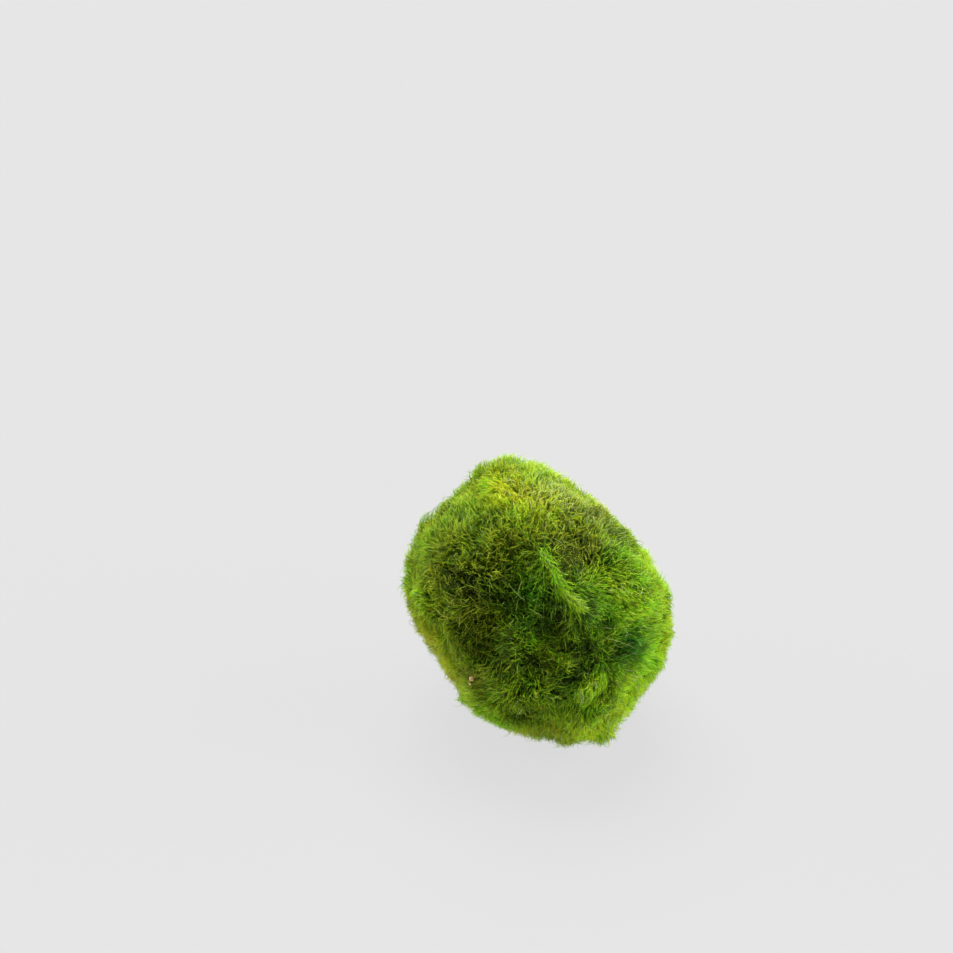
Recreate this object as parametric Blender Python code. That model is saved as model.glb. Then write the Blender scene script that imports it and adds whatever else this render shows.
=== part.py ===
"""A ball of marimo moss, about 50 mm across, that rests on a small flat spot.

The ball is one solid whose surface is where the tips of the moss threads end. It starts as an even
sphere. Its outline, folds, lobes and hollows are set out as someone sees them who looks down at the
ball from in front, then small tufts are raised all over it. Metres, +Z up, with the origin under the
middle of the ball, on the surface that it rests on.
"""

import math
import random

import bmesh
import bpy
from mathutils import Vector, geometry, kdtree, noise

MM = 0.001

# Driving dimensions
BALL_WIDTH = 50.0 * MM
VIEW_ELEVATION = math.radians(35)
RESTING_DEPTH = 1.5 * MM

# How far the outline reaches from the ball's middle, as a share of half the ball's width. It is given
# every 15 degrees, anticlockwise from the right as the viewer sees it.
OUTLINE = (
    1.01, 0.95, 0.905, 0.88, 0.90, 0.96,
    1.05, 1.135, 1.065, 1.03, 1.055, 1.025,
    0.995, 0.91, 0.875, 0.90, 0.96, 0.975,
    1.005, 1.095, 1.10, 1.08, 1.06, 1.03,
)
NEAR_DEPTH = 1.02
FAR_DEPTH = 1.06

# The large forms: (rise, spread, points that it runs through), all in millimetres. A fold or a valley
# has several points, a lobe or a hollow has one, and what sinks in has a rise below nought. A point is
# (across, up) from the middle, as the viewer sees the ball, or as seen from straight behind it.
FRONT_FORMS = (
    # the crown, the fold that runs down from it over the near face, and the hollows under the fold
    (1.3, 4.6, (-7.0, 21.0), (-2.0, 14.5)),
    (0.9, 2.2, (-11.0, 25.5)),
    (2.6, 2.8, (1.0, 9.0), (2.6, 4.8), (4.3, 1.6), (8.0, -1.2)),
    (-2.4, 3.6, (-5.0, 8.0), (-5.0, 2.0), (-11.0, -7.5)),
    (-2.8, 3.0, (3.0, -3.5), (1.0, -6.0)),
    # the lit upper side, its hollow, and the lobe at the right
    (-1.7, 4.2, (5.0, 15.5), (10.0, 10.0)),
    (1.6, 4.6, (16.0, 9.5), (19.5, 1.0)),
    # the valley that runs down at the right, and the folds on each side of its lower end
    (-2.2, 3.6, (10.5, -4.0), (14.5, -9.5), (18.5, -14.5)),
    (1.7, 3.0, (7.0, -20.0), (13.5, -15.0)),
    (2.2, 2.6, (12.5, -24.5)),
    (-1.3, 2.2, (12.5, -20.0)),
    (-1.8, 3.2, (3.0, -11.5), (8.0, -12.0)),
    (-1.5, 3.0, (-10.0, -16.5)),
    (1.2, 3.6, (-6.5, -17.5), (0.5, -17.0)),
    # the left side
    (1.3, 4.6, (-16.0, 13.0), (-21.0, 3.0)),
    (1.2, 4.0, (-12.5, 3.0), (-17.0, -5.5)),
)
BACK_FORMS = (
    (2.0, 4.4, (-15.0, 10.0), (-8.0, 6.5), (-3.0, 11.0)),
    (-2.2, 4.0, (-1.0, 3.5), (5.5, 7.5)),
    (1.8, 4.6, (10.0, 13.5), (14.5, 4.0)),
    (-2.0, 4.2, (-14.5, -5.0), (-8.5, -3.5)),
    (1.7, 4.4, (-3.5, -9.5), (5.0, -5.5), (13.0, -8.0)),
    (-1.7, 4.0, (6.0, -12.5), (-6.0, -14.0)),
    (-1.6, 4.2, (2.0, 20.0)),
    (1.6, 4.4, (-13.0, -14.0)),
    # the underside
    (1.5, 8.0, (5.0, -20.0)),
)

# Broad unevenness of the whole surface
SWELL_HEIGHT = 0.6 * MM
SWELL_WIDTH = 9.0 * MM

# Tufts: the rounded clumps that the threads stand in. The creases between them sink below the ball's
# even surface by a share of the tufts' height, and the tufts under the ball are pressed flat.
TUFT_COUNT = 260
TUFT_HEIGHT = 1.25 * MM
TUFT_UNLIKENESS = 0.45
TUFT_RADIUS = 2.9 * MM
CREASE_SHARE = 0.6
PRESSED_FROM = math.radians(36)
PRESSED_TO = math.radians(18)
TUFT_SEED = 11

# Each face of an icosahedron is cut into a grid of this many triangles a side, and made round
GRID = 22
SHORTEST_EDGE = 0.25 * MM

MOSS_COLOUR = (0.13, 0.24, 0.02, 1.0)

HALF_WIDTH = BALL_WIDTH / 2
TO_VIEWER = Vector((0, -math.cos(VIEW_ELEVATION), math.sin(VIEW_ELEVATION)))
VIEW_RIGHT = Vector((1, 0, 0))
VIEW_UP = Vector((0, math.sin(VIEW_ELEVATION), math.cos(VIEW_ELEVATION)))


def clear_scene():
    for item in list(bpy.data.objects):
        bpy.data.objects.remove(item)


def outline_reach(angle):
    """The outline's reach at an angle, by a smooth curve through the values of OUTLINE."""
    place = angle / math.tau * len(OUTLINE)
    first = math.floor(place)
    t = place - first
    a, b, c, d = (OUTLINE[(first + step) % len(OUTLINE)] for step in (-1, 0, 1, 2))
    curve = 2 * b + (c - a) * t + (2 * a - 5 * b + 4 * c - d) * t**2 + (3 * b - a - 3 * c + d) * t**3
    return HALF_WIDTH * curve / 2


def rounded_reach(direction):
    """How far the smooth ball reaches: the outline at its rim, rounded over to the near and far ends."""
    toward = direction.dot(TO_VIEWER)
    across = direction.dot(VIEW_RIGHT)
    up = direction.dot(VIEW_UP)
    rim = outline_reach(math.atan2(up, across))
    end = HALF_WIDTH * (NEAR_DEPTH if toward > 0 else FAR_DEPTH)
    return 1 / math.sqrt((1 - toward**2) / rim**2 + toward**2 / end**2)


def placed_forms():
    """(rise, spread, directions of the points) of each large form, with its lengths in metres."""
    placed = []
    for forms, side in ((FRONT_FORMS, 1), (BACK_FORMS, -1)):
        for rise, spread, *points in forms:
            directions = []
            for across, up in points:
                flat = (VIEW_RIGHT * across * side + VIEW_UP * up) * MM
                near = math.sqrt(max(HALF_WIDTH**2 - flat.length_squared, 0))
                directions.append((flat + TO_VIEWER * near * side).normalized())
            placed.append((rise * MM, spread * MM, directions))
    return placed


def form_gap(direction, directions):
    """The distance over the ball from a direction to the line that a form runs along."""
    nearest = min((direction - point).length for point in directions)
    for start, end in zip(directions, directions[1:]):
        foot, share = geometry.intersect_point_line(direction, start, end)
        if 0 < share < 1:
            nearest = min(nearest, (direction - foot.normalized()).length)
    return nearest * HALF_WIDTH


def form_height(direction, forms):
    return sum(rise * math.exp(-((form_gap(direction, line) / spread) ** 2)) for rise, spread, line in forms)


def scattered_tufts():
    """Tufts spread evenly over the sphere along a golden spiral, each shaken a little, and the
    height of each."""
    dice = random.Random(TUFT_SEED)
    shake = 0.35 * math.sqrt(4 * math.pi / TUFT_COUNT)
    golden = math.pi * (3 - math.sqrt(5))
    tufts = kdtree.KDTree(TUFT_COUNT)
    for number in range(TUFT_COUNT):
        z = 1 - (2 * number + 1) / TUFT_COUNT
        ring = math.sqrt(1 - z * z)
        centre = Vector((ring * math.cos(golden * number), ring * math.sin(golden * number), z))
        centre += Vector([dice.uniform(-shake, shake) for _ in range(3)])
        tufts.insert(centre.normalized(), number)
    tufts.balance()
    heights = [TUFT_HEIGHT * (1 - TUFT_UNLIKENESS * dice.random()) for _ in range(TUFT_COUNT)]
    return tufts, heights


def tuft_height(direction, tufts, heights):
    """Round tufts that meet in creases."""
    _, number, gap = tufts.find(direction)
    roundness = math.cos(math.pi / 2 * min(gap * HALF_WIDTH / TUFT_RADIUS, 1))
    return heights[number] * roundness - CREASE_SHARE * TUFT_HEIGHT


def standing_share(direction):
    """How much of a tuft's height is left: none close to the foot, all of it up the sides."""
    from_foot = direction.angle(Vector((0, 0, -1)))
    share = (from_foot - PRESSED_TO) / (PRESSED_FROM - PRESSED_TO)
    return min(max(share, 0), 1)


def grid_sphere(bm):
    """A sphere of even triangles, from the faces of an icosahedron."""
    bmesh.ops.create_icosphere(bm, subdivisions=1, radius=1)
    bmesh.ops.subdivide_edges(bm, edges=bm.edges[:], cuts=GRID - 1, use_grid_fill=True)
    for vert in bm.verts:
        vert.co.normalize()


def shape_ball(bm):
    forms = placed_forms()
    tufts, heights = scattered_tufts()
    for vert in bm.verts:
        direction = vert.co.normalized()
        reach = rounded_reach(direction)
        reach += form_height(direction, forms)
        reach += SWELL_HEIGHT * noise.noise(direction * HALF_WIDTH / SWELL_WIDTH)
        reach += tuft_height(direction, tufts, heights) * standing_share(direction)
        vert.co = direction * reach


def flatten_foot(bm):
    """Cuts the underside level, so that the ball rests on one flat face."""
    level = min(vert.co.z for vert in bm.verts) + RESTING_DEPTH
    bmesh.ops.bisect_plane(
        bm,
        geom=bm.verts[:] + bm.edges[:] + bm.faces[:],
        plane_co=(0, 0, level),
        plane_no=(0, 0, -1),
        clear_outer=True,
    )
    rim = [vert for vert in bm.verts if vert.is_boundary]
    bmesh.ops.remove_doubles(bm, verts=rim, dist=SHORTEST_EDGE)
    rim_edges = [edge for edge in bm.edges if edge.is_boundary]
    bmesh.ops.holes_fill(bm, edges=rim_edges)
    for vert in bm.verts:
        vert.co.z -= level


def centre_over_origin(bm):
    low = [min(vert.co[axis] for vert in bm.verts) for axis in range(2)]
    high = [max(vert.co[axis] for vert in bm.verts) for axis in range(2)]
    middle = Vector(((low[0] + high[0]) / 2, (low[1] + high[1]) / 2, 0))
    bmesh.ops.translate(bm, verts=bm.verts[:], vec=-middle)


def moss_material():
    material = bpy.data.materials.new("moss")
    material.use_nodes = True
    surface = material.node_tree.nodes["Principled BSDF"]
    surface.inputs["Base Color"].default_value = MOSS_COLOUR
    surface.inputs["Roughness"].default_value = 0.9
    surface.inputs["Metallic"].default_value = 0.0
    return material


def make_moss_ball(collection):
    bm = bmesh.new()
    grid_sphere(bm)
    shape_ball(bm)
    flatten_foot(bm)
    centre_over_origin(bm)
    bmesh.ops.recalc_face_normals(bm, faces=bm.faces[:])
    mesh = bpy.data.meshes.new("moss_ball")
    bm.to_mesh(mesh)
    bm.free()
    mesh.materials.append(moss_material())
    mesh.shade_smooth()
    ball = bpy.data.objects.new("moss_ball", mesh)
    collection.objects.link(ball)
    return ball


def main():
    clear_scene()
    collection = bpy.data.collections.new("marimo_moss_ball")
    bpy.context.scene.collection.children.link(collection)
    make_moss_ball(collection)


main()
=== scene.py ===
"""A marimo moss ball: a mat of felted moss, dark under old moss and as painted shade, and the threads
that grow out of it to the ball's surface, curled and gathered into tufts.
"""

import math

import bmesh
import bpy
import numpy as np
from mathutils import Matrix, Vector, bvhtree, kdtree


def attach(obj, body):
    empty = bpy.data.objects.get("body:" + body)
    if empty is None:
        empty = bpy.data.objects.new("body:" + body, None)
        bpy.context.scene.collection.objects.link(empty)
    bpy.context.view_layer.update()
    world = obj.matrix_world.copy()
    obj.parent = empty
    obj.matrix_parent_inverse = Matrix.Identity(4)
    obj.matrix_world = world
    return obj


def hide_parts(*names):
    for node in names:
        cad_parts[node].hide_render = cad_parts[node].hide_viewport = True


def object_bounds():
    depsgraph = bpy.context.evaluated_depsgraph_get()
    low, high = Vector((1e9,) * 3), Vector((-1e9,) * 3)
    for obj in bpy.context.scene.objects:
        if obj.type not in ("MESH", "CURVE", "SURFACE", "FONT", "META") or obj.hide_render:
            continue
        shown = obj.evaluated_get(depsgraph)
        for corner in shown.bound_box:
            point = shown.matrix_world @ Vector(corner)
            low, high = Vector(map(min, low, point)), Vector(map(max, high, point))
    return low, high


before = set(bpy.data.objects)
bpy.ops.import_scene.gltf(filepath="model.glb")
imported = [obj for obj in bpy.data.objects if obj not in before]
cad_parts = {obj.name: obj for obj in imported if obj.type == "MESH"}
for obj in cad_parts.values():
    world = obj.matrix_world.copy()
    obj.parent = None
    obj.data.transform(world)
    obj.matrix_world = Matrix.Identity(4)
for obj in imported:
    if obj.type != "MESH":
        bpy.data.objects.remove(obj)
cad_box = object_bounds()

MM = 0.001

# The photograph's view: its size and the middle of the ball in it, in pixels, how large a pixel is at the
# ball, and the view's angle. The last two are guesses.
PICTURE_SIZE = 953
BALL_PIXEL = (538.0, 596.0)
MM_PER_PIXEL = 0.1873
VIEW_ELEVATION = math.radians(35)
CAMERA_DISTANCE = 650 * MM

# The ball: about how far its surface is from its middle, how deep the felted mat lies under that surface
# and how often it is smoothed, and how far from a point the surface still counts as the ball around it
BALL_RADIUS = 26 * MM
MAT_DEPTH = 3.0 * MM
MAT_SMOOTHINGS = 2
RELIEF_REACH = 4.0 * MM

# Threads stand out along a mix of the surface's own direction and the way out from the ball's middle
LOCAL_SHARE = 0.55
ROUND_SHARE = 0.45

# Tufts, which threads are gathered into: how far they lean over, how high their tips end above the
# surface, as (least, most), and how far they leave their neighbours' direction
TUFT_COUNT = 8000
TUFT_LEAN = 0.9 * MM
TUFT_LIFTS = (-0.4 * MM, 0.7 * MM)
TUFT_STRAY = 0.5

# How far the threads are combed outwards from the middle of the near side, and along the folds
COMBED = 1.3
COMBED_IN_FOLDS = 4.0
TUFT_COMBED = 0.3

SEED = 5

# Smooth unevenness, as (size of its waves, seed) for the swirls that threads and tufts lie in and for the
# lumps of a grain, and as (strength on the near side, how much more on the far side, size, seed) for the
# moss's tint and fullness
SWIRLS = (14 * MM, 31)
TUFT_SWIRLS = (4 * MM, 41)
THREAD_SWIRLS = (3 * MM, 51)
GRAIN_LUMPS = (0.6 * MM, 81)
TINT_WAVES = ((0.03, 0.06, 16 * MM, 21), (0.03, 0.0, 5 * MM, 22))
FULLNESS_WAVES = ((0.04, 0.10, 13 * MM, 61), (0.08, 0.0, 4 * MM, 71))

# The moss between the patches: its tint, the limits of tint anywhere, its fullness in front, how much
# brighter it is at the rim, as painted rim light, and fuller behind, and how much brighter for each
# millimetre that it stands above the ball around it, as painted light on ridges and painted shade in
# hollows. Fullness here stands both for how fresh the moss is and for painted light and shade.
EVEN_TINT = 0.50
TINT_LIMITS = (0.1, 0.97)
NEAR_LUSHNESS_AND_LIGHT = 0.27
RIM_LIGHT_AND_LUSHER_BEHIND = 0.30
LUSHER_AND_LIT_PER_MM = 0.13

# How unlike each other neighbouring threads are, and how bright the root of a thread is in the oldest
# moss and by how much more in the freshest. The dark roots deep in the pile are painted shade, and the
# brightness that fullness adds is partly painted light.
TINT_SPREAD = 0.08
FULLNESS_SPREAD = 0.08
SHADE_SPREAD = 0.11
THICKNESS_RANGE = (0.7, 1.25)
ROOT_SHADE = 0.05
LUSH_AND_LIT_ROOT_SHADE = 0.70

# The curve of a thread: powers of the share of its length, its swing forwards as a share of the one
# sideways and how much faster that one turns, and how much thinner it gets towards the tip
REACH_POWER = 1.5
RISE_POWER = 0.9
SWING_POWER = 0.7
GATHER_POWER = 1.6
SWING_ALONG = 0.6
SWING_ALONG_TURNS = 1.13
TAPER = 0.55

# The bake map: the margin and the height of the band that threads use, and how wide a thread is in it
BAKE_MARGIN = 0.02
BAKE_BAND = 0.96
BAKE_WIDTH = 0.004

# No part of a thread is lower than this above the surface that the ball rests on, plus a random share of
# the spread
PRESSED_HEIGHT = 0.01 * MM
PRESSED_SPREAD = 0.02 * MM

# Kinds of thread, with lengths in millimetres, as (least, most) or, for rise, as (mean, spread). Count is
# how many are sown, bends how many stretches each has, and thickness is at the root. Reach is how far a
# thread runs along the ball, depth how deep its root is, and rise how far its tip stands above the
# surface. Curl and turns are its swing, pull how far it is gathered into a tuft, stray how far it leaves
# its neighbours' direction, tip_shade how bright its tip is in the oldest moss, which includes painted
# shade, and old_share how much of its number grows there.
THREAD_KINDS = (
    {"count": 44000, "bends": 1, "thickness": 0.18, "reach": (0.2, 1.0), "depth": (2.6, 3.3),
     "rise": (-0.8, 0.35), "curl": (0.0, 0.0), "turns": (0.0, 0.0), "pull": (0.2, 0.8), "stray": 0.9,
     "tip_shade": 0.42, "old_share": 1.0},
    {"count": 35000, "bends": 2, "thickness": 0.125, "reach": (0.3, 1.8), "depth": (2.4, 3.3),
     "rise": (-0.2, 0.25), "curl": (0.05, 0.25), "turns": (0.4, 1.0), "pull": (0.4, 0.9), "stray": 0.9,
     "tip_shade": 0.46, "old_share": 1.0},
    {"count": 18000, "bends": 3, "thickness": 0.12, "reach": (1.2, 4.4), "depth": (1.5, 3.0),
     "rise": (0.1, 0.3), "curl": (0.10, 0.50), "turns": (0.25, 0.85), "pull": (0.0, 0.4), "stray": 1.8,
     "tip_shade": 0.57, "old_share": 1.0},
    {"count": 17000, "bends": 2, "thickness": 0.155, "reach": (0.4, 2.2), "depth": (1.0, 2.2),
     "rise": (0.35, 0.35), "curl": (0.0, 0.3), "turns": (0.0, 0.5), "pull": (0.2, 0.8), "stray": 0.9,
     "tip_shade": 0.56, "old_share": 0.15},
    {"count": 1400, "bends": 3, "thickness": 0.1, "reach": (0.5, 2.4), "depth": (0.5, 1.5),
     "rise": (0.55, 0.35), "curl": (0.1, 0.4), "turns": (0.2, 0.7), "pull": (0.0, 0.0), "stray": 2.0,
     "tip_shade": 0.8, "old_share": 0.7},
)

TO_VIEWER = np.array([0, -math.cos(VIEW_ELEVATION), math.sin(VIEW_ELEVATION)])
VIEW_RIGHT = np.array([1.0, 0.0, 0.0])
VIEW_UP = np.array([0, math.sin(VIEW_ELEVATION), math.cos(VIEW_ELEVATION)])
MIDDLE = np.array((cad_box[0] + cad_box[1]) / 2)

dice = np.random.default_rng(SEED)


# Small helpers for numbers

def linear(hex_colour):
    """A colour as shader sockets take it, from its sRGB hex value."""
    parts = [int(hex_colour[place:place + 2], 16) / 255 for place in (1, 3, 5)]
    return [part / 12.92 if part <= 0.04045 else ((part + 0.055) / 1.055) ** 2.4 for part in parts] + [1]


def unit(vectors):
    return vectors / np.maximum(np.linalg.norm(vectors, axis=-1, keepdims=True), 1e-12)


def waves(points, size, seed, count=14):
    """A smooth uneven height for each point, from about -1 to 1, made of waves in random directions."""
    own = np.random.default_rng(seed)
    ways = unit(own.normal(size=(count, 3))) * (math.tau / (size * own.uniform(0.7, 1.5, (count, 1))))
    return np.sin(points @ ways.T + own.uniform(0, math.tau, count)).sum(-1) / math.sqrt(count)


def drift(points, size, seed):
    """A smooth uneven direction for each point."""
    return np.stack([waves(points, size, seed + step) for step in range(3)], -1)


def tree_of(places):
    tree = kdtree.KDTree(len(places))
    for number, place in enumerate(places):
        tree.insert(place, number)
    tree.balance()
    return tree


# The ball's surface, read from its solid

def joined_solid():
    """The solid's mesh with its loose triangles joined."""
    bm = bmesh.new()
    bm.from_mesh(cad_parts["moss_ball"].data)
    bmesh.ops.remove_doubles(bm, verts=bm.verts[:], dist=1e-6)
    bmesh.ops.triangulate(bm, faces=bm.faces[:])
    bm.normal_update()
    return bm


def relief_at(places):
    """How far each point of the surface stands above the ball around it, in metres."""
    reach = np.linalg.norm(places - MIDDLE, axis=1)
    tree = tree_of(places)
    around = [np.mean([reach[number] for _, number, _ in tree.find_range(place, RELIEF_REACH)])
              for place in places]
    return reach - np.array(around)


def read_surface():
    """The solid's triangles, as the places, directions and relief of their corners, and a tree of them."""
    bm = joined_solid()
    places = np.array([vert.co for vert in bm.verts])
    outward = np.array([vert.normal for vert in bm.verts])
    faces = np.array([[vert.index for vert in face.verts] for face in bm.faces])
    tree = bvhtree.BVHTree.FromBMesh(bm)
    bm.free()
    return places[faces], outward[faces], relief_at(places)[faces], tree


CORNERS, OUTWARD, RELIEF, SOLID = read_surface()


def scattered(count):
    """(points, outward directions, relief) spread by area over the surface."""
    area = np.linalg.norm(np.cross(CORNERS[:, 1] - CORNERS[:, 0], CORNERS[:, 2] - CORNERS[:, 0]), axis=1)
    steps = np.cumsum(area) / area.sum()
    pick = np.searchsorted(steps, (np.arange(count) + dice.random(count)) / count).clip(0, len(area) - 1)
    a, b = dice.random((2, count, 1))
    fold = a + b > 1
    a, b = np.where(fold, 1 - a, a), np.where(fold, 1 - b, b)
    share = np.stack([1 - a - b, a, b], 1)
    points = (CORNERS[pick] * share).sum(1)
    local = unit((OUTWARD[pick] * share).sum(1))
    outward = unit(LOCAL_SHARE * local + ROUND_SHARE * unit(points - MIDDLE))
    return points, outward, (RELIEF[pick] * share[..., 0]).sum(1)


def camera_place():
    right = (BALL_PIXEL[0] - PICTURE_SIZE / 2) * MM_PER_PIXEL * MM
    down = (BALL_PIXEL[1] - PICTURE_SIZE / 2) * MM_PER_PIXEL * MM
    return MIDDLE - VIEW_RIGHT * right + VIEW_UP * down + TO_VIEWER * CAMERA_DISTANCE


def beside_middle(across, up, near=0.0):
    """The point so many millimetres across, up and near from the ball's middle, as the viewer sees it."""
    return MIDDLE + (VIEW_RIGHT * across + VIEW_UP * up + TO_VIEWER * near) * MM


def on_surface(across, up, lift=0.0):
    """The point of the surface that the viewer sees there, lifted off it by so many millimetres."""
    eye = Vector(camera_place())
    place, normal, _, _ = SOLID.ray_cast(eye, Vector(beside_middle(across, up)) - eye)
    if place is None:
        place, normal, _, _ = SOLID.find_nearest(Vector(beside_middle(across, up)))
    return np.array(place + normal * lift * MM)


# How the moss grows over the ball, and where light and shade are painted on it

# Patches that differ: (across, up, spread, change of tint, change of fullness, flow), the first three in
# millimetres as the viewer sees them. A rise in tint goes towards blue-green and a fall towards straw.
# A rise in fullness is fresh moss that is bright down to its roots, a fall is old moss with dark gaps.
# Many changes of fullness are also painted light and painted shade: lighter on the crown, the fold crests,
# the right lobe and the rims, darker in the hollows, beside the folds and on the upper right rim.
# Flow is where the threads are combed to, as (across, up).
PATCHES = (
    # the crown: its end in painted shade, its bright edge in painted light and the pale plane beside it,
    # and painted shade on the upper right rim
    (-8.5, 25.0, 2.5, -0.06, -0.25, None), (-5.8, 20.2, 6.2, -0.06, 0.75, None),
    (-4.2, 20.0, 3.0, 0.0, 0.25, None), (-11.8, 20.8, 3.0, -0.12, 0.05, None),
    (4.0, 18.5, 6.0, -0.13, 0.05, None), (3.2, 17.0, 2.4, 0.0, 0.30, None),
    (7.0, 14.0, 3.2, -0.05, 0.25, None), (11.6, 15.5, 5.0, -0.13, -0.08, None),
    (16.2, 12.0, 4.0, -0.04, -0.42, None), (-1.5, 14.2, 4.0, -0.04, -0.02, None),
    # the green beside the crown
    (-12.5, 15.7, 6.0, -0.05, -0.14, None), (-11.8, 17.0, 2.5, 0.05, 0.12, None),
    (-8.0, 14.6, 3.0, 0.0, -0.28, None), (-17.4, 16.0, 3.0, 0.0, -0.25, None),
    # the old edge under them, darker partly as painted shade where the top turns to the near face, and the
    # green beside it
    (4.0, 9.0, 4.0, -0.10, -0.22, None), (9.7, 8.5, 4.5, -0.15, -0.22, None),
    (-5.2, 9.0, 3.5, -0.10, 0.08, None), (13.5, 7.0, 2.5, 0.20, -0.05, None),
    (-11.8, 6.0, 2.4, 0.0, 0.28, None), (-17.6, 4.6, 2.6, -0.03, -0.30, None),
    (-16.5, 9.8, 2.8, 0.0, 0.16, None), (-13.4, 1.4, 2.6, 0.0, -0.18, None),
    (-12.0, 9.8, 2.0, 0.03, -0.12, None), (-19.6, 1.6, 1.6, 0.0, 0.22, None),
    # the fold that runs down the near face, its crest lighter as painted light and its sides darker as
    # painted shade, and the green on both sides of it, lighter on the right lobe as painted light
    (1.4, 7.4, 1.3, 0.06, 0.25, (0.4, -0.9)), (3.0, 4.5, 1.4, 0.07, 0.20, (0.5, -0.9)),
    (4.5, 1.6, 1.5, 0.02, 0.30, (0.5, -0.8)), (6.6, -1.0, 1.4, 0.0, 0.14, (0.7, -0.6)),
    (-2.6, 0.2, 4.4, 0.24, 0.07, None), (-0.6, -2.0, 2.2, 0.0, 0.20, None),
    (7.0, 4.6, 2.2, 0.0, -0.28, None), (10.4, -2.4, 3.0, 0.06, -0.36, None),
    (13.9, 1.8, 4.8, -0.01, 0.38, (0.7, -0.4)), (14.9, 3.5, 1.4, 0.0, -0.45, None),
    (18.4, -4.0, 3.3, -0.02, 0.62, (0.5, -0.2)), (14.0, -5.2, 1.8, 0.03, -0.25, None),
    (10.7, 5.4, 2.0, 0.0, 0.22, None), (18.2, 2.1, 2.2, 0.0, 0.20, None),
    (2.8, -1.6, 2.0, 0.04, -0.32, None),
    # the hollows, darker partly as old moss and partly as painted shade, and the fresher moss between them
    (2.8, -4.8, 2.8, 0.0, -0.62, None), (-2.4, -5.4, 2.2, 0.02, -0.28, None),
    (-5.4, -9.4, 2.2, 0.0, -0.32, None), (-7.5, -5.6, 2.3, 0.03, 0.42, None),
    (-11.8, -8.2, 2.0, -0.10, -0.06, None), (-6.2, -12.8, 3.0, -0.08, -0.40, None),
    (-11.4, -2.6, 2.8, 0.0, 0.35, None), (8.2, -11.6, 3.4, 0.04, -0.58, None),
    (3.2, -12.7, 1.8, 0.0, 0.70, None), (14.4, -9.2, 2.0, -0.08, 0.32, None),
    (-8.0, 1.0, 2.8, 0.0, -0.26, None), (0.2, -13.0, 2.4, -0.03, -0.30, None),
    (6.7, -16.6, 2.2, 0.08, -0.38, None), (-4.3, -16.9, 1.8, 0.0, 0.24, None),
    (-1.5, -18.6, 3.0, -0.02, 0.30, None),
    (3.2, -20.4, 1.8, 0.0, -0.38, None), (-4.0, -23.6, 2.6, -0.04, -0.42, None),
    (-10.6, -16.6, 2.8, -0.12, -0.32, None), (12.4, -19.0, 1.0, -0.04, -0.30, None),
    # the old left side, the dark green of the right, darker in its valley as painted shade, and a pale tuft
    # between them
    (-14.5, -0.7, 8.0, -0.11, -0.23, None), (18.0, -9.6, 2.8, 0.24, -0.42, None),
    (15.0, -8.0, 9.0, 0.07, 0.0, None), (-0.5, -8.8, 1.8, 0.12, 0.50, None),
    # the full growth round the sides, lighter as painted rim light, most at the bottom, where it stands for
    # light from below
    (-20.0, 6.0, 6.5, -0.11, 0.01, None), (-23.0, -2.5, 2.6, 0.04, 0.05, None),
    (-19.5, -2.0, 2.6, -0.07, 0.30, None), (-20.0, -9.0, 4.5, -0.04, 0.60, None),
    (-16.8, -15.0, 5.5, -0.07, 0.55, None), (-12.0, -22.0, 4.5, -0.09, 0.65, None),
    (22.5, -3.0, 5.5, 0.05, 0.22, (1.0, -0.2)), (22.5, -11.0, 4.5, 0.04, 0.45, None),
    (18.5, -17.5, 5.0, 0.02, 0.70, None), (12.2, -25.2, 4.4, -0.02, 0.95, None),
    (5.0, -24.5, 4.0, 0.04, 0.45, None), (-3.4, -25.8, 5.5, -0.04, 0.45, None),
    # the fold at the lower right, lighter as painted light
    (11.4, -16.4, 2.2, 0.06, 0.50, (-0.7, -0.7)), (9.4, -19.0, 2.6, 0.04, 0.70, (-0.7, -0.7)),
)
# Patches with pale threads among the green ones: (across, up, spread, share of pale threads)
PALE_PATCHES = (
    (-3.0, 25.5, 4.0, 0.25), (4.0, 20.5, 6.0, 0.40), (11.5, 15.5, 5.0, 0.50), (15.5, 10.5, 3.0, 0.35),
)
PALE_EVERYWHERE = 0.04
PALE_TINTS = (0.04, 0.07)
PLACED_PATCHES = [(on_surface(across, up), spread * MM, greener, lusher_and_lighter, flow)
                  for across, up, spread, greener, lusher_and_lighter, flow in PATCHES]
PLACED_PALE = [(on_surface(across, up), spread * MM, most) for across, up, spread, most in PALE_PATCHES]


def closeness(points, place, spread):
    return np.exp(-((points - place) ** 2).sum(-1) / spread**2)


def uneven(points, far, parts):
    """How far each point of the moss is off its even tint or fullness."""
    return sum((near + more * far) * waves(points, size, seed) for near, more, size, seed in parts)


def growth(points, relief):
    """(tint, lushness with painted light and shade, flow) of the moss at each point, tint and
    lushness from 0 to 1.
    """
    seen = (points - MIDDLE) / BALL_RADIUS
    far = 0.5 - seen @ TO_VIEWER / 2
    tint = EVEN_TINT + uneven(points, far, TINT_WAVES)
    # Brighter at the rim, as painted rim light, and fuller behind
    full = NEAR_LUSHNESS_AND_LIGHT + RIM_LIGHT_AND_LUSHER_BEHIND * (2 * far).clip(0, 1)
    full += uneven(points, far, FULLNESS_WAVES)
    # Brighter on ridges and darker in hollows, as painted light and painted shade
    full += LUSHER_AND_LIT_PER_MM * relief / MM
    off_middle = seen - (seen @ TO_VIEWER)[:, None] * TO_VIEWER
    flow = COMBED * off_middle * np.linalg.norm(off_middle, axis=1, keepdims=True)
    for place, spread, greener, lusher_and_lighter, toward in PLACED_PATCHES:
        share = closeness(points, place, spread)
        tint += greener * share
        full += lusher_and_lighter * share
        if toward:
            flow += COMBED_IN_FOLDS * share[:, None] * (VIEW_RIGHT * toward[0] + VIEW_UP * toward[1])
    return tint.clip(*TINT_LIMITS), full.clip(0, 1), flow


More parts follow.
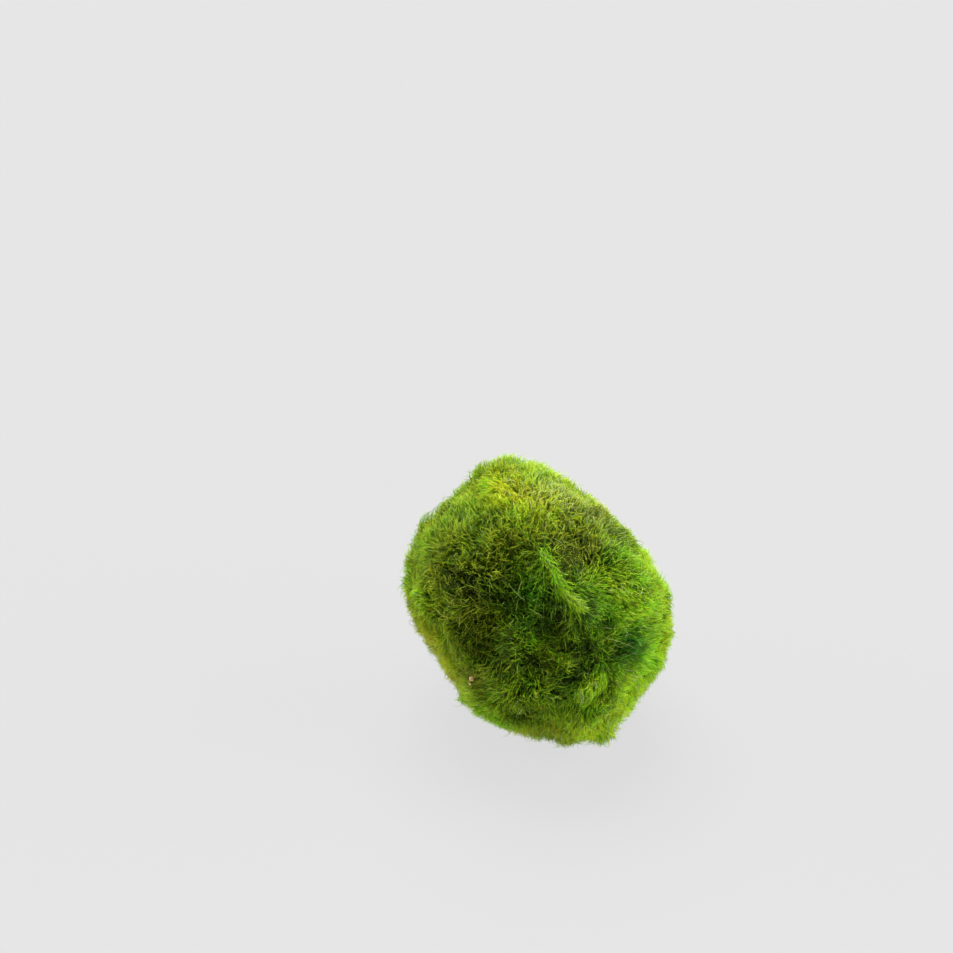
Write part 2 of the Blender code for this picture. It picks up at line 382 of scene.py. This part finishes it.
def thread_tints(points, tint):
    """Each thread's own tint: a little off the moss around it, or pale."""
    pale = PALE_EVERYWHERE + sum(most * closeness(points, place, spread)
                                 for place, spread, most in PLACED_PALE)
    own = (tint + dice.normal(0, TINT_SPREAD, len(points))).clip(*TINT_LIMITS)
    return np.where(dice.random(len(points)) < pale, dice.uniform(*PALE_TINTS, len(points)), own)


# Threads

def thread_template(bends):
    """One straight thread of unit length: a three-sided cone with a ring at each bend. Returns, per
    vertex, its level and its place in the cross-section, then each face's vertices and bake places."""
    bm = bmesh.new()
    bmesh.ops.create_cone(bm, cap_ends=True, segments=3, radius1=1, radius2=0, depth=1,
                          matrix=Matrix.Translation((0, 0, 0.5)))
    bmesh.ops.remove_doubles(bm, verts=bm.verts[:], dist=1e-5)
    for level in range(1, bends):
        bmesh.ops.bisect_plane(bm, geom=bm.verts[:] + bm.edges[:] + bm.faces[:],
                               plane_co=(0, 0, level / bends), plane_no=(0, 0, 1))
    bm.verts.ensure_lookup_table()
    places = np.array([vert.co for vert in bm.verts])
    levels = (places[:, 2] * bends).round().astype(int)
    ring = np.where(levels[:, None] < bends, unit(places[:, :2]), 0)
    faces = [[vert.index for vert in face.verts] for face in bm.faces]
    turns = []
    for face in bm.faces:
        middle = face.calc_center_median()
        facing = math.atan2(middle.y, middle.x)
        for vert in face.verts:
            away = (math.atan2(vert.co.y, vert.co.x) - facing + math.pi) % math.tau - math.pi
            if levels[vert.index] == bends:
                away = 0
            turns.append(facing / math.tau + 0.5 + away / math.tau)
    bm.free()
    return levels, ring, faces, np.array(turns)


def paths(points, outward, lean, kind, looseness):
    """The middle line of each thread, from its root to its tip, as (thread, level, xyz), and how deep the
    roots and tips are."""
    count = len(points)
    s = np.linspace(0, 1, kind["bends"] + 1)[None, :, None]
    along = unit(lean - outward * (lean * outward).sum(-1, keepdims=True))
    side = np.cross(outward, along)
    reach = dice.uniform(*kind["reach"], (count, 1, 1)) * MM
    depth = dice.uniform(*kind["depth"], (count, 1, 1)) * MM
    rise = dice.normal(*kind["rise"], (count, 1, 1)) * MM
    turns = dice.uniform(*kind["turns"], (count, 1, 1)) * math.tau
    curl = dice.uniform(*kind["curl"], (count, 1, 1)) * MM * looseness[:, None, None]
    gone = reach * s**REACH_POWER
    height = -depth + (depth + rise) * np.sin(s * math.pi / 2) ** RISE_POWER - gone**2 / (2 * BALL_RADIUS)
    line = points[:, None] + outward[:, None] * height + along[:, None] * gone
    turn = turns * s + dice.uniform(0, math.tau, (count, 1, 1))
    swing = curl * s**SWING_POWER
    line += side[:, None] * np.sin(turn) * swing
    line += along[:, None] * np.cos(turn * SWING_ALONG_TURNS) * swing * SWING_ALONG
    return line, -depth[:, 0, 0], rise[:, 0, 0]


def gathered(line, outward, pull, tufts, tuft_lines):
    """Draws each thread towards the middle line of the nearest tuft, more so near its tip."""
    near = np.array([tufts.find(place)[1] for place in line[:, 0] + outward * MAT_DEPTH])
    s = np.linspace(0, 1, line.shape[1])[None, :, None]
    return line + (tuft_lines[near] - line) * pull[:, None, None] * s**GATHER_POWER


def swept(line, template, thickness):
    """The vertices of a template bent along each line, as (thread, vertex, xyz)."""
    levels, ring, _, _ = template
    ways = unit(np.gradient(line, axis=1))
    loose = unit(dice.normal(size=(len(line), 1, 3)))
    across = unit(np.cross(ways, loose))
    over = np.cross(ways, across)
    s = np.linspace(0, 1, line.shape[1])
    width = (thickness[:, None] / 2 * (1.0 - TAPER * s**2))[:, levels, None]
    return line[:, levels] + width * (across[:, levels] * ring[:, :1] + over[:, levels] * ring[:, 1:])


def thread_map(template, tint, low, high):
    """The bake map: across it a thread keeps its tint, and along it goes from low to high."""
    levels, ring, faces, turns = template
    order = np.concatenate(faces)
    across = tint[:, None] + (turns[None] - 0.5) * BAKE_WIDTH
    along = low[:, None] + (high - low)[:, None] * levels[order] / levels.max()
    return np.stack([across, BAKE_MARGIN + BAKE_BAND * along + BAKE_WIDTH * ring[order, 1]], -1)


def placed(name, mesh, material):
    """The mesh as a smooth piece of the scene."""
    mesh.shade_smooth()
    mesh.materials.append(material)
    piece = bpy.data.objects.new(name, mesh)
    bpy.context.scene.collection.objects.link(piece)
    return piece


def joined(name, batches, material):
    """One mesh object from batches of (vertices, template, map)."""
    places, corners, starts, maps = [], [], [], []
    vert_count = corner_count = 0
    for vertices, template, bake_map in batches:
        faces = template[2]
        order = np.concatenate(faces)
        sizes = np.array([len(face) for face in faces])
        first = np.concatenate([[0], np.cumsum(sizes)[:-1]])
        step = np.arange(len(vertices))[:, None]
        places.append(vertices.reshape(-1, 3))
        corners.append((order[None] + step * vertices.shape[1] + vert_count).ravel())
        starts.append((first[None] + step * len(order) + corner_count).ravel())
        maps.append(bake_map.reshape(-1, 2))
        vert_count += len(places[-1])
        corner_count += len(corners[-1])
    mesh = bpy.data.meshes.new(name)
    mesh.vertices.add(vert_count)
    mesh.vertices.foreach_set("co", np.concatenate(places).astype(np.float32).ravel())
    mesh.loops.add(corner_count)
    mesh.loops.foreach_set("vertex_index", np.concatenate(corners).astype(np.int32))
    starts = np.concatenate(starts).astype(np.int32)
    mesh.polygons.add(len(starts))
    mesh.polygons.foreach_set("loop_start", starts)
    mesh.update(calc_edges=True)
    layer = mesh.uv_layers.new(name="OFBake")
    layer.uv.foreach_set("vector", np.concatenate(maps).astype(np.float32).ravel())
    mesh.validate()
    return placed(name, mesh, material)


# Materials

def node(tree, kind, sockets=None, **settings):
    """Adds a node with its settings, and gives each named socket its value or its link."""
    made = tree.nodes.new(kind)
    for name, value in settings.items():
        setattr(made, name, value)
    for name, value in (sockets or {}).items():
        if isinstance(value, bpy.types.NodeSocket):
            tree.links.new(value, made.inputs[name])
        else:
            made.inputs[name].default_value = value
    return made


def new_material(name):
    """(material, its empty node tree)."""
    material = bpy.data.materials.new(name)
    material.use_nodes = True
    material.node_tree.nodes.clear()
    return material, material.node_tree


def fill_ramp(ramp, stops):
    """Gives a colour ramp its (place, hex colour) stops."""
    elements = ramp.color_ramp.elements
    while len(elements) < len(stops):
        elements.new(0.5)
    for element, (place, colour) in zip(elements, stops):
        element.position = place
    for element, (place, colour) in zip(elements, stops):
        element.color = linear(colour)


def moss_thread_material():
    """Damp algae filament, grown: soft green, darkest at the root as painted shade deep in the pile, and
    light passes through it.
    """
    material, tree = new_material("living_moss_thread")
    place = node(tree, "ShaderNodeUVMap", uv_map="OFBake")
    apart = node(tree, "ShaderNodeSeparateXYZ", {"Vector": place.outputs["UV"]})
    hue = node(tree, "ShaderNodeValToRGB", {"Fac": apart.outputs["X"]})
    fill_ramp(hue, (
        (0.0, "#F0E8C0"), (0.05, "#CADA92"), (0.1, "#C0BA58"), (0.22, "#A8A42A"), (0.36, "#DCDA2A"),
        (0.5, "#C8E626"), (0.64, "#A0E21C"), (0.8, "#5CC010"), (0.96, "#44AC14"),
    ))
    # Painted shade: darker and greener towards the root, deep in the pile
    depth = node(tree, "ShaderNodeValToRGB", {"Fac": apart.outputs["Y"]})
    fill_ramp(depth, (
        (0.0, "#141C06"), (0.25, "#34430F"), (0.45, "#768C4A"), (0.7, "#CAD6AC"), (1.0, "#FFFFFF"),
    ))
    colour = node(tree, "ShaderNodeMix", {0: 1.0, 6: hue.outputs["Color"], 7: depth.outputs["Color"]},
                  data_type="RGBA", blend_type="MULTIPLY")
    skin = node(tree, "ShaderNodeBsdfPrincipled", {
        "Base Color": colour.outputs[2], "Roughness": 0.4, "Specular IOR Level": 0.25,
    })
    glow = node(tree, "ShaderNodeBsdfTranslucent", {"Color": colour.outputs[2]})
    both = node(tree, "ShaderNodeMixShader", {0: 0.5, 1: skin.outputs[0], 2: glow.outputs[0]})
    node(tree, "ShaderNodeOutputMaterial", {"Surface": both.outputs[0]})
    return material


def felt_material():
    """Felted moss, grown and packed: fully matt, green under fresh growth and painted light, nearly black
    under old moss and painted shade.
    """
    material, tree = new_material("felted_moss")
    place = node(tree, "ShaderNodeTexCoord")
    lumps = node(tree, "ShaderNodeTexNoise", {
        "Vector": place.outputs["Object"], "Scale": 1 / (1.2 * MM), "Detail": 4.0, "Roughness": 0.7,
    })
    # Fullness, which carries painted light and shade, comes from the mesh's attribute
    lushness_and_light = node(tree, "ShaderNodeAttribute", attribute_name="lushness_and_light")
    fresh = node(tree, "ShaderNodeMath", {0: lumps.outputs["Fac"], 1: lushness_and_light.outputs["Fac"]})
    colour = node(tree, "ShaderNodeValToRGB", {"Fac": fresh.outputs["Value"]})
    # Nearly black is painted shade deep under the threads
    fill_ramp(colour, ((0.5, "#141A05"), (0.8, "#2C3D08"), (1.0, "#4A6A10")))
    bump = node(tree, "ShaderNodeBump", {
        "Height": lumps.outputs["Fac"], "Distance": 0.5 * MM, "Strength": 0.8,
    })
    skin = node(tree, "ShaderNodeBsdfPrincipled", {
        "Base Color": colour.outputs["Color"], "Roughness": 1.0, "Specular IOR Level": 0.1,
        "Normal": bump.outputs["Normal"],
    })
    node(tree, "ShaderNodeOutputMaterial", {"Surface": skin.outputs[0]})
    return material


def grit_material():
    """Sand grain, broken and water-worn: cream quartz with a rusty side, and a faint gloss."""
    material, tree = new_material("quartz_grit")
    place = node(tree, "ShaderNodeTexCoord")
    stain = node(tree, "ShaderNodeTexNoise", {
        "Vector": place.outputs["Object"], "Scale": 1 / (0.5 * MM), "Detail": 3.0, "Roughness": 0.6,
    })
    colour = node(tree, "ShaderNodeValToRGB", {"Fac": stain.outputs["Fac"]})
    fill_ramp(colour, ((0.35, "#6E4628"), (0.48, "#B08A58"), (0.6, "#E6DCA4")))
    skin = node(tree, "ShaderNodeBsdfPrincipled", {
        "Base Color": colour.outputs["Color"], "Roughness": 0.45,
    })
    node(tree, "ShaderNodeOutputMaterial", {"Surface": skin.outputs[0]})
    return material


# Pieces

def make_mat(material):
    """The felted body of the ball, sunk under the surface by the length of the threads."""
    bm = joined_solid()
    for vert in bm.verts:
        vert.co -= vert.normal * MAT_DEPTH
    for _ in range(MAT_SMOOTHINGS):
        bmesh.ops.smooth_vert(bm, verts=bm.verts[:], factor=0.5, use_axis_x=True, use_axis_y=True,
                              use_axis_z=True)
    mesh = bpy.data.meshes.new("moss_mat")
    bm.to_mesh(mesh)
    bm.free()
    places = np.array([vert.co for vert in mesh.vertices])
    # The mat's fullness carries painted light and shade, as the threads' does
    _, full, _ = growth(places, np.zeros(len(places)))
    mesh.attributes.new("lushness_and_light", "FLOAT", "POINT").data.foreach_set("value", full.astype(np.float32))
    return placed("moss_mat", mesh, material)


def make_tufts():
    """(tree of the tufts' places, their middle lines for each number of bends)."""
    points, outward, relief = scattered(TUFT_COUNT)
    _, _, flow = growth(points, relief)
    lean = TUFT_COMBED * flow + drift(points, *SWIRLS) + 0.7 * drift(points, *TUFT_SWIRLS)
    lean += TUFT_STRAY * dice.normal(size=points.shape)
    along = lean - outward * (lean * outward).sum(-1, keepdims=True)
    lifted = outward * dice.uniform(*TUFT_LIFTS, (TUFT_COUNT, 1))
    lines = {}
    for kind in THREAD_KINDS:
        s = np.linspace(0, 1, kind["bends"] + 1)[None, :, None]
        lines[kind["bends"]] = (points[:, None] + outward[:, None] * MAT_DEPTH * (s - 1)
                                + along[:, None] * TUFT_LEAN * s**REACH_POWER + lifted[:, None] * s)
    return tree_of(points), lines


def above_floor(vertices):
    """Threads under the ball lie pressed on the surface that it rests on."""
    least = PRESSED_HEIGHT + PRESSED_SPREAD * dice.random(vertices.shape[:-1])
    vertices[..., 2] = np.maximum(vertices[..., 2], least)
    return vertices


def grow_threads(kind, tufts, tuft_lines):
    """(root points, vertices, template, map) of all threads of a kind."""
    points, outward, relief = scattered(kind["count"])
    tint, full, flow = growth(points, relief)
    kept = dice.random(len(points)) < kind["old_share"] + (1 - kind["old_share"]) * full
    points, outward, tint, full, flow = (part[kept] for part in (points, outward, tint, full, flow))
    tint = thread_tints(points, tint)
    full = (full + dice.normal(0, FULLNESS_SPREAD, len(points))).clip(0, 1)
    looseness = 1.35 - 0.7 * full
    lean = flow + drift(points, *SWIRLS) + 0.8 * drift(points, *THREAD_SWIRLS)
    lean += kind["stray"] * looseness[:, None] * dice.normal(size=points.shape)
    line, low, high = paths(points, outward, lean, kind, looseness)
    pull = dice.uniform(*kind["pull"], len(points)) * (0.6 + 0.5 * full).clip(0, 1)
    line = gathered(line, outward, pull, tufts, tuft_lines[kind["bends"]])
    template = thread_template(kind["bends"])
    thickness = kind["thickness"] * MM * dice.uniform(*THICKNESS_RANGE, len(points))
    own = dice.normal(0, SHADE_SPREAD, len(points))
    # Threads are darkest at the root, deep in the pile, as painted shade; fuller moss, whose fullness
    # includes painted light, is brighter down to its roots
    darkest = ROOT_SHADE + LUSH_AND_LIT_ROOT_SHADE * full + own / 2
    brightest = kind["tip_shade"] + (1 - kind["tip_shade"]) * full + own
    shades = [(darkest + (brightest - darkest) * (1 + end / MAT_DEPTH).clip(0, 1)).clip(0, 1)
              for end in (low, high)]
    vertices = above_floor(swept(line, template, thickness))
    return points, vertices, template, thread_map(template, tint, *shades)


# Pale strands that lie loose on the moss, each as points (across, up) in millimetres as the viewer sees
# them, and how high in millimetres they lie
STRAYS = (
    ((-5.7, 2.3), (-4.5, 1.3), (-3.6, 0.4), (-2.8, -0.4), (-2.1, -0.6)),
    ((-1.2, -2.6), (-0.4, -3.2), (0.5, -3.7), (0.8, -4.3)),
    ((12.7, -7.7), (13.9, -7.9), (14.8, -8.2), (15.7, -8.6), (16.9, -9.1), (17.8, -9.6)),
    ((14.0, -8.1), (15.0, -9.4), (16.5, -9.2)),
    ((12.0, -5.8), (12.7, -5.8), (13.5, -5.9), (14.2, -5.9), (14.6, -5.2)),
    ((-12.0, -16.5), (-12.5, -17.2), (-12.2, -18.2), (-11.4, -18.9), (-10.7, -18.5)),
    ((7.3, -15.2), (7.9, -14.5), (8.8, -14.4), (9.7, -14.8)),
    ((1.9, -18.9), (2.8, -19.1), (3.7, -18.6)),
    ((-4.3, -4.5), (-5.6, -5.8)),
    ((-3.4, 0.7), (-3.0, 2.1), (-2.4, 2.8)),
)
STRAY_BENDS = 10
STRAY_LIFT = 0.35
STRAY_THICKNESS = 0.12 * MM
STRAY_ROOT_SHADE = 0.6
# How many steps a rounded line is worked out in from each given point to the next
CURVE_STEPS = 8


def rounded_line(points, count):
    """So many evenly spaced points on a smooth curve through the given ones."""
    points = np.array(points)
    ends = np.concatenate([[2 * points[0] - points[1]], points, [2 * points[-1] - points[-2]]])
    t = np.linspace(0, 1, CURVE_STEPS, endpoint=False)[:, None]
    curve = [0.5 * (2 * b + (c - a) * t + (2 * a - 5 * b + 4 * c - d) * t**2
                    + (3 * b - a - 3 * c + d) * t**3)
             for a, b, c, d in zip(ends, ends[1:], ends[2:], ends[3:])]
    curve = np.concatenate(curve + [points[-1:]])
    gone = np.concatenate([[0], np.cumsum(np.linalg.norm(np.diff(curve, axis=0), axis=1))])
    places = np.linspace(0, gone[-1], count)
    return np.stack([np.interp(places, gone, curve[:, axis]) for axis in range(curve.shape[1])], -1)


# Locks, combed together along a line of points (across, up). These, the lock's width, and how far its
# threads reach along it and lift off the moss are in millimetres, as the viewer sees them. Tint is from
# the least to the most, and low is how bright the threads are at the root. The locks over the folds and
# down the rim at the lower right are bright partly as painted light.
LOCKS = (
    # along the fold on the near face, bright at its crest partly as painted light
    {"line": ((0.2, 9.6), (1.5, 7.2), (3.0, 4.4), (4.4, 1.8), (6.1, -0.4), (8.0, -1.9), (9.6, -3.0)),
     "count": 180, "width": 0.8, "reach": (1.4, 3.2), "lift": (0.1, 0.8), "tint": (0.46, 0.68), "low": 0.55},
    {"line": ((4.2, 2.0), (5.9, -0.2), (7.6, -1.6), (9.0, -2.6)), "count": 36,
     "width": 0.5, "reach": (1.2, 2.4), "lift": (0.3, 0.8), "tint": (0.38, 0.52), "low": 0.7},
    # over the fold at the lower right, bright partly as painted light
    {"line": ((13.2, -15.0), (11.4, -16.8), (9.6, -18.6), (7.6, -20.4)), "count": 150, "width": 2.4,
     "reach": (0.8, 2.0), "lift": (0.2, 0.9), "tint": (0.46, 0.62), "low": 0.85},
    # down the rim at the lower right, bright partly as painted rim light
    {"line": ((20.0, -16.5), (17.6, -20.0), (15.0, -23.2), (12.6, -26.0)), "count": 130, "width": 2.4,
     "reach": (1.2, 3.0), "lift": (0.0, 0.7), "tint": (0.44, 0.60), "low": 0.85},
    # off the left shoulder
    {"line": ((-23.4, 12.6), (-21.6, 15.4), (-19.9, 17.8), (-17.8, 19.6)), "count": 60, "width": 2.6,
     "reach": (1.6, 4.2), "lift": (0.0, 1.1), "tint": (0.40, 0.66), "low": 0.5},
)
LOCK_BENDS = 4
LOCK_THICKNESS = 0.12 * MM
LOCK_STEPS = 60
# How deep a lock's roots are, how far its tips splay and wave, how far it rounds off at its sides, and the
# turn that a thread's lift goes through, in radians; the lengths are in millimetres
LOCK_SINK = 0.8
LOCK_SPLAY = 0.8
LOCK_WAVE = 0.25
LOCK_ROUNDNESS = 0.12
LOCK_ARCH = 2.2
# The share of pale threads in locks, and the ranges of thickness and of tip shade in locks and strands
PALE_IN_LOCKS = 0.15
LOCK_THICKNESS_RANGE = (0.8, 1.2)
LOCK_TIP_SHADES = (0.6, 1.0)


def lock_lines(lock):
    """The middle lines of a lock's threads."""
    count = lock["count"]
    line = rounded_line([on_surface(*point) for point in lock["line"]], LOCK_STEPS)
    length = np.linalg.norm(np.diff(line, axis=0), axis=1).sum()
    way = unit(np.gradient(line, axis=0))
    outward = unit(line - MIDDLE)
    side = np.cross(way, outward)
    s = np.linspace(0, 1, LOCK_BENDS + 1)
    reach = dice.uniform(*lock["reach"], (count, 1)) * MM / length
    place = (dice.random((count, 1)) * (1 - reach) + reach * s) * (len(line) - 1)
    off = dice.normal(0, lock["width"] / 2, (count, 1)) + dice.normal(0, LOCK_SPLAY, (count, 1)) * s**2
    wave = dice.uniform(0, math.tau, (count, 1)) + s * dice.uniform(2, 6, (count, 1))
    off = off + LOCK_WAVE * np.sin(wave) * s
    lift = -LOCK_SINK * (1 - s) ** 2 + dice.uniform(*lock["lift"], (count, 1)) * np.sin(s * LOCK_ARCH)
    lift = lift - off**2 * LOCK_ROUNDNESS
    steps = np.arange(len(line))
    near = [np.stack([np.interp(place, steps, part[:, axis]) for axis in range(3)], -1)
            for part in (line, side, outward)]
    return near[0] + near[1] * off[..., None] * MM + near[2] * lift[..., None] * MM


def make_strays(material):
    """The loose strands and the locks, as one piece."""
    strays = [rounded_line([on_surface(*point, STRAY_LIFT) for point in points], STRAY_BENDS + 1)
              for points in STRAYS]
    groups = [(np.array(strays), STRAY_BENDS, STRAY_THICKNESS, PALE_TINTS, STRAY_ROOT_SHADE)]
    groups += [(lock_lines(lock), LOCK_BENDS, LOCK_THICKNESS, lock["tint"], lock["low"])
               for lock in LOCKS]
    batches = []
    for lines, bends, thickness, tints, low in groups:
        template = thread_template(bends)
        count = len(lines)
        vertices = swept(lines, template, thickness * dice.uniform(*LOCK_THICKNESS_RANGE, count))
        tint = np.where(dice.random(count) < PALE_IN_LOCKS, dice.uniform(*PALE_TINTS, count),
                        dice.uniform(*tints, count))
        bake_map = thread_map(template, tint, np.full(count, low), dice.uniform(*LOCK_TIP_SHADES, count))
        batches.append((vertices, template, bake_map))
    return joined("threads_stray", batches, material)


# Grains of grit caught between the threads: (across, up, width) in millimetres as the viewer sees them,
# how high in millimetres their middles lie, how lumpy they are, and how far they are out of round
GRAINS = ((-12.4, -15.4, 0.95), (-12.7, -16.4, 0.6))
GRAIN_LIFT = 0.1
GRAIN_LUMPINESS = 0.22
GRAIN_FORM = (1, 0.8, 1.15)


def make_grit(material):
    bm = bmesh.new()
    for across, up, width in GRAINS:
        made = bmesh.ops.create_icosphere(bm, subdivisions=2, radius=width / 2 * MM)
        for vert in made["verts"]:
            vert.co *= 1 + GRAIN_LUMPINESS * waves(np.array([vert.co]), *GRAIN_LUMPS)[0]
        bmesh.ops.scale(bm, verts=made["verts"], vec=GRAIN_FORM)
        bmesh.ops.translate(bm, verts=made["verts"], vec=on_surface(across, up, GRAIN_LIFT))
    mesh = bpy.data.meshes.new("grit")
    bm.to_mesh(mesh)
    bm.free()
    return placed("grit", mesh, material)


SIDES = ("right", "left", "back", "front", "top", "bottom")


def make_threads(material):
    """One piece of threads for each side of the ball."""
    tufts, tuft_lines = make_tufts()
    grown = [grow_threads(kind, tufts, tuft_lines) for kind in THREAD_KINDS]
    pieces = []
    for number, side in enumerate(SIDES):
        batches = []
        for points, vertices, template, bake_map in grown:
            away = points - MIDDLE
            axis = np.abs(away).argmax(1)
            behind = away[np.arange(len(away)), axis] < 0
            here = axis * 2 + behind == number
            batches.append((vertices[here], template, bake_map[here]))
        pieces.append(joined("threads_" + side, batches, material))
    return pieces


# Studio

FLOOR_SIZE = 8
FLOOR_GLOW = 0.68
SENSOR_WIDTH = 36
# How bright the pale surroundings are as light on the ball, and as the camera sees them
SKY_LIGHT = 0.25
BACKDROP = 0.79
# Suns: (name, the way that their light goes, strength, width in degrees)
SUNS = (
    ("overhead", (0.1, -0.45, -0.87), 7.9, 50),
    ("left", (0.95, -0.25, -0.25), 4.8, 60),
    ("right", (-1.0, 0.0, -0.28), 7.9, 60),
    ("front", (-0.2, 0.98, -0.06), 2.9, 60),
)


def make_floor():
    """A matt acrylic photo table, pale mostly by its own glow, so that the shadow on it is faint."""
    bpy.ops.mesh.primitive_plane_add(size=FLOOR_SIZE)
    floor = bpy.context.object
    floor.name = "floor"
    material = bpy.data.materials.new("matt_acrylic_table")
    material.use_nodes = True
    skin = material.node_tree.nodes["Principled BSDF"]
    skin.inputs["Base Color"].default_value = linear("#303030")
    skin.inputs["Roughness"].default_value = 1.0
    skin.inputs["Specular IOR Level"].default_value = 0.0
    skin.inputs["Emission Color"].default_value = (1, 1, 1, 1)
    skin.inputs["Emission Strength"].default_value = FLOOR_GLOW
    floor.data.materials.append(material)


def make_camera():
    """Looks along the photograph's view, aside of the ball as there."""
    camera = bpy.data.cameras.new("camera")
    camera.sensor_width = SENSOR_WIDTH
    camera.lens = camera.sensor_width * CAMERA_DISTANCE / (PICTURE_SIZE * MM_PER_PIXEL * MM)
    holder = bpy.data.objects.new("camera", camera)
    holder.location = camera_place()
    holder.rotation_euler = (math.pi / 2 - VIEW_ELEVATION, 0, 0)
    bpy.context.scene.collection.objects.link(holder)
    bpy.context.scene.camera = holder


def add_sun(name, toward, strength, width):
    sun = bpy.data.lights.new(name, "SUN")
    sun.energy = strength
    sun.angle = math.radians(width)
    holder = bpy.data.objects.new(name, sun)
    holder.rotation_euler = Vector(toward).to_track_quat("-Z", "Y").to_euler()
    bpy.context.scene.collection.objects.link(holder)


def make_light():
    """Soft light from above and behind and from both sides, little from the front, and a backdrop."""
    world = bpy.data.worlds.new("studio")
    world.use_nodes = True
    tree = world.node_tree
    tree.nodes.clear()
    rays = node(tree, "ShaderNodeLightPath")
    strength = node(tree, "ShaderNodeMapRange", {
        "Value": rays.outputs["Is Camera Ray"], "To Min": SKY_LIGHT, "To Max": BACKDROP,
    })
    sky = node(tree, "ShaderNodeBackground", {"Color": (1, 1, 1, 1), "Strength": strength.outputs["Result"]})
    node(tree, "ShaderNodeOutputWorld", {"Surface": sky.outputs[0]})
    bpy.context.scene.world = world
    for sun in SUNS:
        add_sun(*sun)
    bpy.context.scene.view_settings.view_transform = "Standard"


mat = make_mat(felt_material())
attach(mat, "root")
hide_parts("moss_ball")
thread_material = moss_thread_material()
for piece in make_threads(thread_material) + [make_strays(thread_material), make_grit(grit_material())]:
    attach(piece, "root")
make_floor()
make_camera()
make_light()
